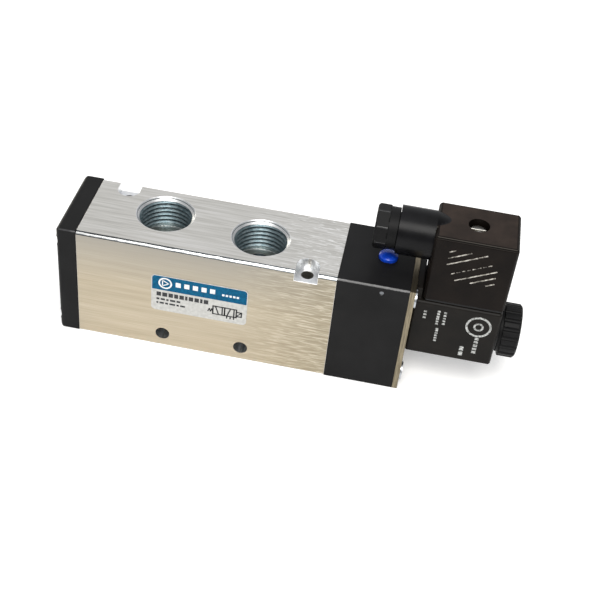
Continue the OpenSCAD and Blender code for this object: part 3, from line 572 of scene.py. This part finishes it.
turned_aluminium, tree, shader = start_material("turned_hard_anodised_aluminium", "c9ccd0", 0.25, 1.0)
lathe = add(tree, "TexWave", {"Vector": stretched(tree, 1.0, 1.0, 1.0), "Scale": 1.2, "Distortion": 0.6},
            bands_direction="X")
finish(tree, shader, lathe.outputs["Fac"], roughness=(0.2, 0.34), depth_mm=0.01, strength=0.4)
nitrile, tree, shader = start_material("moulded_nitrile_rubber", "0d0d0e", 0.55)
bloom = marks(tree, 1.5, 1.5, 1.5)
finish(tree, shader, bloom, [(0.35, "0b0b0c"), (0.7, "17171a")], roughness=(0.45, 0.65))
dress(turned_aluminium, "spool")
dress(nitrile, "spool_seals", "end_cap_seal", "pilot_block_seal", "piston_seal", "override_seal", "tube_seal",
      "plunger_seal", "gland_grommet")

spring_wire, tree, shader = start_material("drawn_spring_steel_wire", "9da1a6", 0.3, 1.0)
drawing = marks(tree, 0.5, 0.5, 0.5, 2.0)
finish(tree, shader, drawing, roughness=(0.22, 0.4))


def coil_spring(name, axis, radius_mm, wire_mm, turns, node, fixed_at_high):
    """A smooth helical spring in the box of its CAD node."""
    low, high = (Vector(corner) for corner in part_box(node))
    middle = (low + high) / 2
    length = high[axis] - low[axis]
    rise = length / MM - wire_mm
    curve = bpy.data.curves.new(name, "CURVE")
    curve.dimensions = "3D"
    curve.bevel_depth = wire_mm / 2 * MM
    curve.bevel_resolution = 3
    curve.use_fill_caps = True
    curve.resolution_u = 3
    path = curve.splines.new("NURBS")
    steps = turns * 14
    path.points.add(steps)
    path.use_endpoint_u = True
    for k, point in enumerate(path.points):
        turn = k / 14
        share = (min(turn, 1) * wire_mm
                 + max(min(turn - 1, turns - 2), 0) * (rise - 2 * wire_mm) / (turns - 2)
                 + max(turn - turns + 1, 0) * wire_mm)
        place = middle.copy()
        place[axis] = low[axis] + (wire_mm / 2 + share) * MM
        place[(axis + 1) % 3] += radius_mm * MM * math.cos(2 * math.pi * turn)
        place[(axis + 2) % 3] += radius_mm * MM * math.sin(2 * math.pi * turn)
        point.co = (*place, 1)
    drawn = bpy.data.objects.new(name + "_drawing", curve)
    bpy.context.scene.collection.objects.link(drawn)
    mesh = bpy.data.meshes.new_from_object(drawn.evaluated_get(bpy.context.evaluated_depsgraph_get()))
    bpy.data.objects.remove(drawn)
    mesh.name = name
    form = bmesh.new()
    form.from_mesh(mesh)
    bmesh.ops.remove_doubles(form, verts=form.verts, dist=WELD)
    spring = make_piece(name, form, "valve", [spring_wire], node)
    anchor = middle.copy()
    anchor[axis] = high[axis] if fixed_at_high else low[axis]
    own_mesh(spring)
    return spring


coil_spring("return_spring_wire", 0, 3.4, 1.1, 7, "return_spring",
            False)


# ---------------------------------------------------------------------------------------------
# Pilot block: the same black nylon, with a painted highlight on the bevel where its top meets the
# sides. It holds a white acetal piston, the manual override and the armature's flange. Four long
# zinc-plated screws run through it and the adaptor plate into the body.
# ---------------------------------------------------------------------------------------------
form = copy_of_node("pilot_block")
round_edges(form, 0.15)
paint_edge_highlights(form, 1)
make_piece("pilot_block_moulding", form, "valve", [black_nylon, painted_highlight_nylon], "pilot_block")
acetal, tree, shader = start_material("turned_white_acetal", "dcd8cc", 0.4)
lathe = add(tree, "TexWave", {"Vector": stretched(tree, 1.0, 1.0, 1.0), "Scale": 1.0, "Distortion": 0.5})
finish(tree, shader, lathe.outputs["Fac"], roughness=(0.32, 0.48))
dress(acetal, "pilot_piston", "coil_bobbin")
form = copy_of_node("pilot_screws")
round_edges(form, SCREW_EDGE, 2, lambda edge: edge.verts[0].co.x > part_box("adaptor_plate")[1][0] + 1 * MM)
make_piece("pilot_socket_screws", form, "valve", [zinc_steel], "pilot_screws")


# ---------------------------------------------------------------------------------------------
# Manual override: a glossy blue acetal button with a domed head, on a nitrile ring and a small
# spring. A steel cross pin through the block stays in its slot and sets its travel.
# ---------------------------------------------------------------------------------------------
blue_acetal, tree, shader = start_material("moulded_blue_acetal", "0f48d0", 0.28)
tint = marks(tree, 2.0, 2.0, 2.0, 2.0)
finish(tree, shader, tint, [(0.3, "0b3fbe"), (0.7, "1552e0")], roughness=(0.2, 0.34))
form = copy_of_node("override_button")
round_edges(form, 0.15, 2)
make_piece("override_push_button", form, "override_button", [blue_acetal], "override_button")
pin_steel, tree, shader = start_material("oiled_dowel_steel", "74777b", 0.34, 1.0)
grinding = marks(tree, 0.4, 3.0, 0.4, 2.0)
finish(tree, shader, grinding, roughness=(0.28, 0.42))
dress(pin_steel, "override_pin")
coil_spring("override_spring_wire", 2, 2.5, 0.5, 5, "override_spring",
            False)


# ---------------------------------------------------------------------------------------------
# Adaptor plate: blanked from 2 mm aluminium sheet. Its sawn edges are warmer and rougher than its
# faces and carry marks along the cut; here the whole plate takes the edges' finish.
# ---------------------------------------------------------------------------------------------
sheet_aluminium, tree, shader = start_material("sawn_aluminium_sheet", "8f8571", 0.4, 1.0)
cut_marks = marks(tree, 0.35, 5.0, 5.0, 2.0)
finish(tree, shader, cut_marks, [(0.36, "786f5f"), (0.5, "857c69"), (0.64, "948a75")],
       roughness=(0.5, 0.28), depth_mm=0.02, strength=0.4)
form = copy_of_node("adaptor_plate")
round_edges(form, 0.15, 2)
make_piece("adaptor_sheet", form, "valve", [sheet_aluminium], "adaptor_plate")


# ---------------------------------------------------------------------------------------------
# Armature: a stainless guide tube with a clamped flange, a fixed core with the stud for the
# nut, and a magnetic plunger whose rubber disc closes the brass orifice. All of it is inside.
# ---------------------------------------------------------------------------------------------
stainless, tree, shader = start_material("drawn_stainless_steel", "c3c6c9", 0.2, 1.0)
drawing = marks(tree, 20, 0.4, 0.4, 2.0)
finish(tree, shader, drawing, roughness=(0.14, 0.3))
soft_iron, tree, shader = start_material("turned_magnetic_steel", "a7aaae", 0.3, 1.0)
lathe = add(tree, "TexWave", {"Vector": stretched(tree, 1.0, 1.0, 1.0), "Scale": 1.4, "Distortion": 0.5})
finish(tree, shader, lathe.outputs["Fac"], roughness=(0.24, 0.38))
brass, tree, shader = start_material("turned_brass", "d8b365", 0.26, 1.0)
lathe = add(tree, "TexWave", {"Vector": stretched(tree, 1.0, 1.0, 1.0), "Scale": 1.4, "Distortion": 0.5})
finish(tree, shader, lathe.outputs["Fac"], roughness=(0.2, 0.36))
dress(stainless, "armature_tube", "gland_washer")
dress(soft_iron, "fixed_core", "plunger", "coil_yoke")
dress(brass, "orifice_seat", "terminal_clamps")
coil_spring("plunger_spring_wire", 0, 1.8, 0.5, 7, "plunger_spring",
            True)


# ---------------------------------------------------------------------------------------------
# Coil: enamelled copper on an acetal former inside a steel bracket, all potted in a block of
# black epoxy-glass compound. Its front has two printed rings and rows of plain pale bars.
# ---------------------------------------------------------------------------------------------
enamelled_copper, tree, shader = start_material("enamelled_copper_wire", "c46a35", 0.25, 1.0)
turns_of_wire = add(tree, "TexWave", {"Vector": stretched(tree, 0.4, 0.4, 0.4), "Scale": 1.0})
finish(tree, shader, turns_of_wire.outputs["Fac"], [(0.2, "8c431d"), (0.7, "d27a42")], depth_mm=0.1,
       strength=0.8)
dress(enamelled_copper, "coil_winding")
tinned_brass, tree, shader = start_material("tinned_brass_strip", "d4d5d3", 0.25, 1.0)
tinning = marks(tree, 1.0, 1.0, 1.0, 2.0)
finish(tree, shader, tinning, roughness=(0.18, 0.34))
dress(tinned_brass, "coil_terminals")

epoxy_glass, tree, shader = start_material("epoxy_glass_compound_black", "13110e", 0.42,
                                           Specular_IOR_Level=0.14)
grain = marks(tree, 0.5, 0.5, 0.5)
flow = marks(tree, 9, 9, 9, 2.0)
finish(tree, shader, flow, [(0.35, "0f0d0b"), (0.65, "181512")], roughness=(0.36, 0.5))
finish(tree, shader, grain, depth_mm=0.03, strength=0.4)
form = copy_of_node("coil_housing")
round_edges(form, 0.3)
make_piece("coil_potting", form, "valve", [epoxy_glass], "coil_housing")

coil_low, coil_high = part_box("coil_housing")
x0, z0, z1 = coil_low[0] / MM, coil_low[2] / MM, coil_high[2] / MM
ring_x, ring_z = x0 + 24.6, z1 - 11.8
signs = hoop(ring_x, ring_z, 4.3, 0.8)
signs += hoop(ring_x, ring_z, 1.5, 0.7)
# Each row of bars runs down from its top: where it is, how wide, the bars' lengths and their gap.
for x, top, width, lengths, gap in (
        (ring_x - x0 + 0.4, 12.4, 1.5, [1.2, 1.0, 1.3, 1.0, 1.2], 0.5),
        (ring_x - x0 - 4.2, 7.0, 1.5, [1.9, 1.9], 0.6),
        (12.0, 21.6, 1.0, [0.8] * 5, 0.5), (9.6, 21.8, 1.0, [0.8, 0.8, 1.9, 0.8, 0.8], 0.4),
        (10.2, 13.6, 1.0, [1.6, 0.8, 0.8, 0.8, 0.8], 0.4), (4.8, 20.8, 1.1, [0.8, 0.8, 0.8], 0.6)):
    for length in lengths:
        signs += dashes(x0 + x - width / 2, z0 + top - length / 2, length, [width], 0)
        top -= length + gap
grey_ink, tree, shader = start_material("pale_grey_pad_ink", "a9aba9", 0.5)
speckle = marks(tree, 0.6, 0.6, 0.6)
finish(tree, shader, speckle, [(0.36, "6a6b69"), (0.5, "a3a5a3"), (0.64, "c6c8c6")])
print_on_front("coil_printed_signs", signs, coil_low[1], INK, "valve", grey_ink)


# ---------------------------------------------------------------------------------------------
# Coil nut: moulded black nylon with eighteen flutes for the fingers, on a nitrile washer. It
# screws onto the stud of the fixed core and clamps the coil against the plate.
# ---------------------------------------------------------------------------------------------
def longer_than(length_mm):
    """Picks edges past a length: rounding the short ones on an arc throws spikes out of the form."""
    return lambda edge: edge.calc_length() > length_mm * MM


form = copy_of_node("coil_washer")
round_edges(form, 0.2, 2)
make_piece("coil_washer_ring", form, "valve", [nitrile], "coil_washer")
form = copy_of_node("coil_nut")
round_edges(form, 0.15, 2, longer_than(0.5))
make_piece("coil_nut_moulding", form, "coil_nut", [black_nylon], "coil_nut")


# ---------------------------------------------------------------------------------------------
# Connector: a glass-filled nylon housing, moulded brown-black, over a grey terminal carrier
# with brass clamps. It sits on a nitrile gasket and is held by a nickel-plated screw in a
# well. Its front carries raised slanting ribs, and its entry boss is polished.
# ---------------------------------------------------------------------------------------------
brown_nylon, tree, shader = start_material("glass_filled_nylon_brown_black", "15110e", 0.5,
                                           Specular_IOR_Level=0.09)
grain = marks(tree, 0.4, 0.4, 0.4, 4.0)
flow = marks(tree, 8, 8, 8)
finish(tree, shader, flow, [(0.35, "100c0a"), (0.65, "181310")], roughness=(0.42, 0.56))
finish(tree, shader, grain, depth_mm=0.04, strength=0.6)
# A lighter copy of the same nylon for the flat top: painted light, for the stronger light from above.
top_nylon_painted_light, tree, shader = start_material("glass_filled_nylon_top_painted_light", "2c241f", 0.5,
                                           Specular_IOR_Level=0.14)
flow = marks(tree, 8, 8, 8)
finish(tree, shader, flow, [(0.35, "241c17"), (0.65, "342a24")])
polished_nylon, tree, shader = start_material("polished_black_nylon", "0a0d13", 0.22, Specular_IOR_Level=0.15)
flow = marks(tree, 6, 6, 6)
finish(tree, shader, flow, [(0.35, "08080a"), (0.65, "0f0f12")], roughness=(0.28, 0.4))
form = copy_of_node("connector_housing")
round_edges(form, 0.3, 3, longer_than(1))
housing_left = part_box("connector_gasket")[0][0] - 1 * MM
flat_top = max(face.calc_center_median().z for face in form.faces
               if face.normal.z > 0.9999 and face.calc_center_median().x > housing_left)
# Along the bevel of the top edge: two painted highlights with a dark band of painted shade between them.
edge_highlights_painted, tree, shader = start_material("nylon_edge_painted_highlights_and_shade", "2a2724", 0.6,
                                             Specular_IOR_Level=0.06)
level = add(tree, "SeparateXYZ", {0: add(tree, "TexCoord").outputs["Object"]}).outputs["Z"]
raised = add(tree, "MapRange", {"Value": level, "From Min": flat_top - 0.9 * MM, "From Max": flat_top})
finish(tree, shader, raised.outputs["Result"],
       [(0.0, "0e0c0a"), (0.2, "2e2a27"), (0.34, "060504"), (0.56, "060504"), (0.72, "4a4641"),
        (0.9, "1c1917")])
for face in form.faces:
    middle = face.calc_center_median()
    if middle.x < housing_left - 0.2 * MM or middle.z > flat_top + 0.02 * MM:
        face.material_index = 1
    elif face.normal.z > 0.5 and 0.5 < abs(face.normal.y) < 0.9 and middle.z > flat_top - 1 * MM:
        face.material_index = 2
    # The flat top takes the lighter copy, painted light.
    elif face.normal.z > 0.99 and middle.z > flat_top - 0.05 * MM:
        face.material_index = 3
make_piece("connector_moulding", form, "connector",
           [brown_nylon, polished_nylon, edge_highlights_painted, top_nylon_painted_light], "connector_housing")
form = copy_of_node("connector_gasket")
round_edges(form, 0.15, 2)
make_piece("connector_flat_gasket", form, "connector", [nitrile], "connector_gasket")

con_low, con_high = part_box("connector_gasket")
con_x0, con_x1 = con_low[0] / MM - 1, con_high[0] / MM + 1
con_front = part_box("coil_housing")[0][1]
# Six ribs slant across the front, with a row of short bars where the fourth and fifth would be.
RIB_SLOPE, RIB_STEP, RIB_W, RIB_H = 0.5, 2.75, 0.37, 0.18
rib_x0, rib_x1, rib_z0, rib_z1 = con_x0 + 6.0, con_x1 - 6.0, 50.6, 63.4
ribs = []
for k in (0, 1, 2, 5, 6, 7):
    start_z = rib_z1 - 0.9 - k * RIB_STEP
    first_x = max(rib_x0, rib_x0 + (rib_z0 - start_z) / RIB_SLOPE)
    last_x = min(rib_x1, rib_x0 + (rib_z1 - start_z) / RIB_SLOPE)
    ribs += stroke([(first_x, start_z + (first_x - rib_x0) * RIB_SLOPE),
                    (last_x, start_z + (last_x - rib_x0) * RIB_SLOPE)], RIB_W)
for k in range(8):
    x = rib_x0 + 2.2 + 1.7 * k
    z = rib_z1 - 0.9 - 3.6 * RIB_STEP + (x - rib_x0) * RIB_SLOPE
    ribs += stroke([(x, z - 0.4), (x + 0.9, z - 0.4 + 0.9 * RIB_SLOPE)], 0.3)
# The raised ribs are coloured pale grey: a painted highlight for the light their edges catch.
ribs_painted_highlight, tree, shader = start_material("raised_nylon_painted_highlight", "7c7871", 0.5)
highlight_streaks = marks(tree, 1.3, 1.3, 1.3)
finish(tree, shader, highlight_streaks, [(0.38, "3f3b36"), (0.5, "8f8a82"), (0.6, "c9c5bd")])
print_on_front("connector_front_ribs", ribs, con_front, RIB_H, "connector", ribs_painted_highlight)

grey_nylon, tree, shader = start_material("moulded_grey_nylon", "5b5e61", 0.5)
grain = marks(tree, 0.5, 0.5, 0.5)
finish(tree, shader, grain, roughness=(0.42, 0.58), depth_mm=0.03, strength=0.4)
dress(grey_nylon, "terminal_insert")
dress(zinc_steel, "terminal_screws")

nickel, tree, shader = start_material("nickel_plated_steel", "a5a39e", 0.3, 1.0)
plating = marks(tree, 1.0, 1.0, 1.0)
finish(tree, shader, plating, roughness=(0.24, 0.36))
form = copy_of_node("connector_screw")
round_edges(form, 0.25, 3, lambda edge: edge.verts[0].co.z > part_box("connector_screw")[1][2] - 2.5 * MM)
make_piece("connector_slotted_screw", form, "connector", [nickel], "connector_screw")


# ---------------------------------------------------------------------------------------------
# Cable gland: an octagonal compression nut of the same nylon, with a round neck. It screws into
# the entry boss and squeezes a nitrile grommet through a slip washer. No cable is fitted.
# ---------------------------------------------------------------------------------------------
form = copy_of_node("gland_nut")
round_edges(form, 0.25, 3, longer_than(0.5))
# The narrow bevels between its flats get a grey painted highlight.
for face in form.faces:
    wide = max(edge.calc_length() for edge in face.edges)
    if wide > 2 * MM and face.calc_area() / wide < 0.16 * MM and abs(face.normal.x) < 0.3:
        face.material_index = 1
make_piece("gland_nut_moulding", form, "gland_nut", [black_nylon, painted_highlight_nylon],
           "gland_nut")
